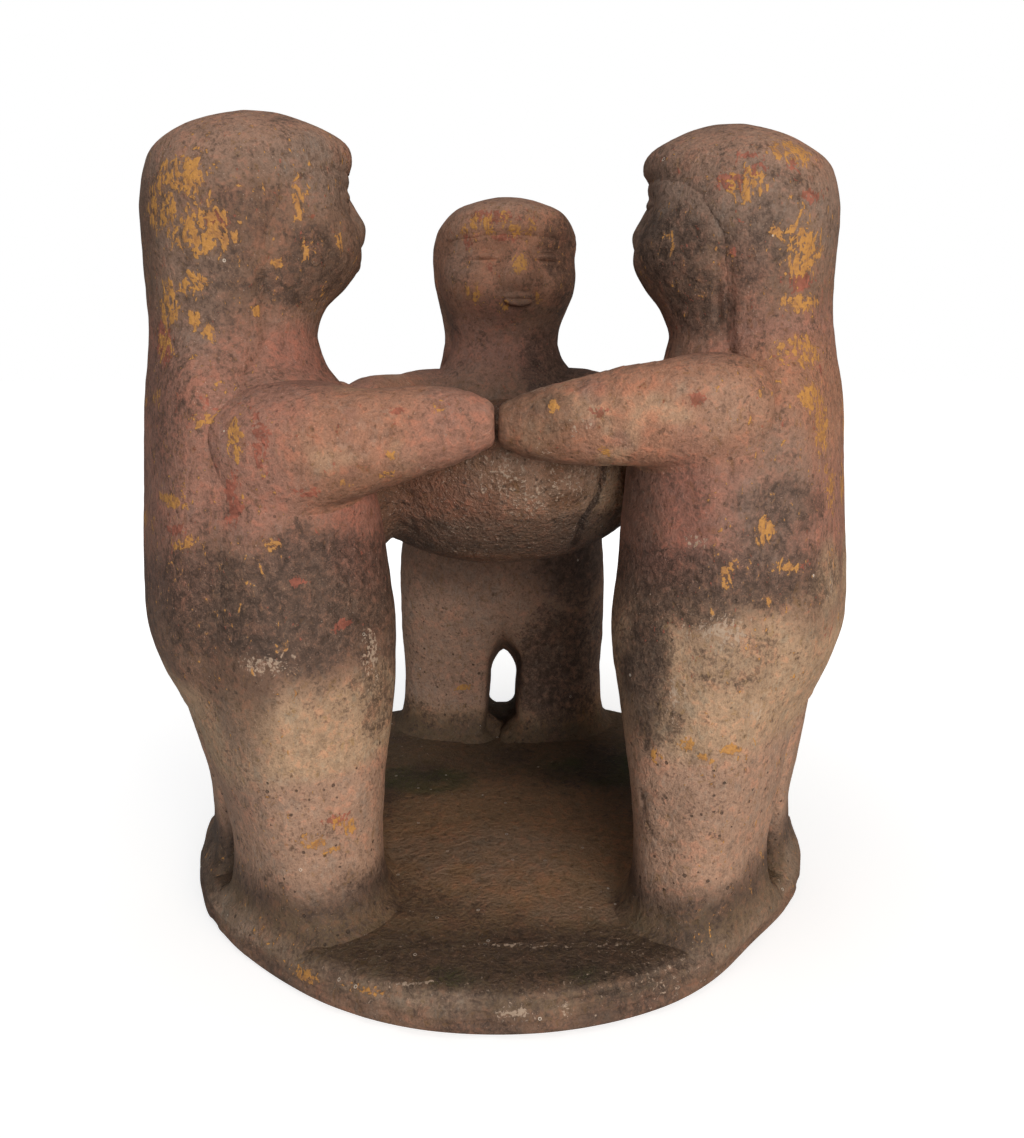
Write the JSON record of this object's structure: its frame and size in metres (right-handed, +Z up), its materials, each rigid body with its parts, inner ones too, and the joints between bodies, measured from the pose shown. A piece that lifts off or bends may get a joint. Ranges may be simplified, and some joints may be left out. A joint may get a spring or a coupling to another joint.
{
  "type": "clay candle holder",
  "caption": "Terracotta candle holder: stout hand-modelled figures stand in a ring on a round slab, arms joined round a round-bottomed bowl held at their chests.",
  "frame": {"origin": "middle of the slab's flat underside, on the axis of slab and bowl", "axes": "+Z up along the axis of slab and bowl; -Y towards the gap between the left and right figures; the back figure stands on +Y"},
  "size_m": [0.2012, 0.208, 0.222],
  "materials": {
    "slab_clay": "matte, sooted low-fired clay with a paler worn rim",
    "bowl_clay": "matte, pitted low-fired clay, red-brown to buff",
    "body_clay": "matte low-fired clay, pink-brown with a soot band and a buff band",
    "leg_clay": "matte low-fired clay, buff to pink with ochre smears",
    "face_clay": "matte low-fired clay, burnished, clouded with soot",
    "painted_hair_clay": "matte low-fired clay, soot-dark with flaked ochre and red earth paint",
    "arm_clay": "matte low-fired clay, salmon pink with worn red and ochre dabs"
  },
  "bodies": {
    "root": {"base_slab": "slab_clay", "bowl": "bowl_clay", "left_figure_torso": "body_clay", "left_figure_left_leg": "leg_clay", "left_figure_right_leg": "leg_clay", "left_figure_head": "face_clay", "left_figure_hair": "painted_hair_clay", "left_figure_nose": "face_clay", "left_figure_eyelids": "face_clay", "left_figure_lips": "face_clay", "left_figure_left_arm": "arm_clay", "left_figure_right_arm": "arm_clay", "right_figure_torso": "body_clay", "right_figure_left_leg": "leg_clay", "right_figure_right_leg": "leg_clay", "right_figure_head": "face_clay", "right_figure_hair": "painted_hair_clay", "right_figure_nose": "face_clay", "right_figure_eyelids": "face_clay", "right_figure_lips": "face_clay", "right_figure_left_arm": "arm_clay", "right_figure_right_arm": "arm_clay", "back_figure_torso": "body_clay", "back_figure_left_leg": "leg_clay", "back_figure_right_leg": "leg_clay", "back_figure_head": "face_clay", "back_figure_hair": "painted_hair_clay", "back_figure_nose": "face_clay", "back_figure_eyelids": "face_clay", "back_figure_lips": "face_clay", "back_figure_left_arm": "arm_clay", "back_figure_right_arm": "arm_clay"}
  },
  "joints": []
}
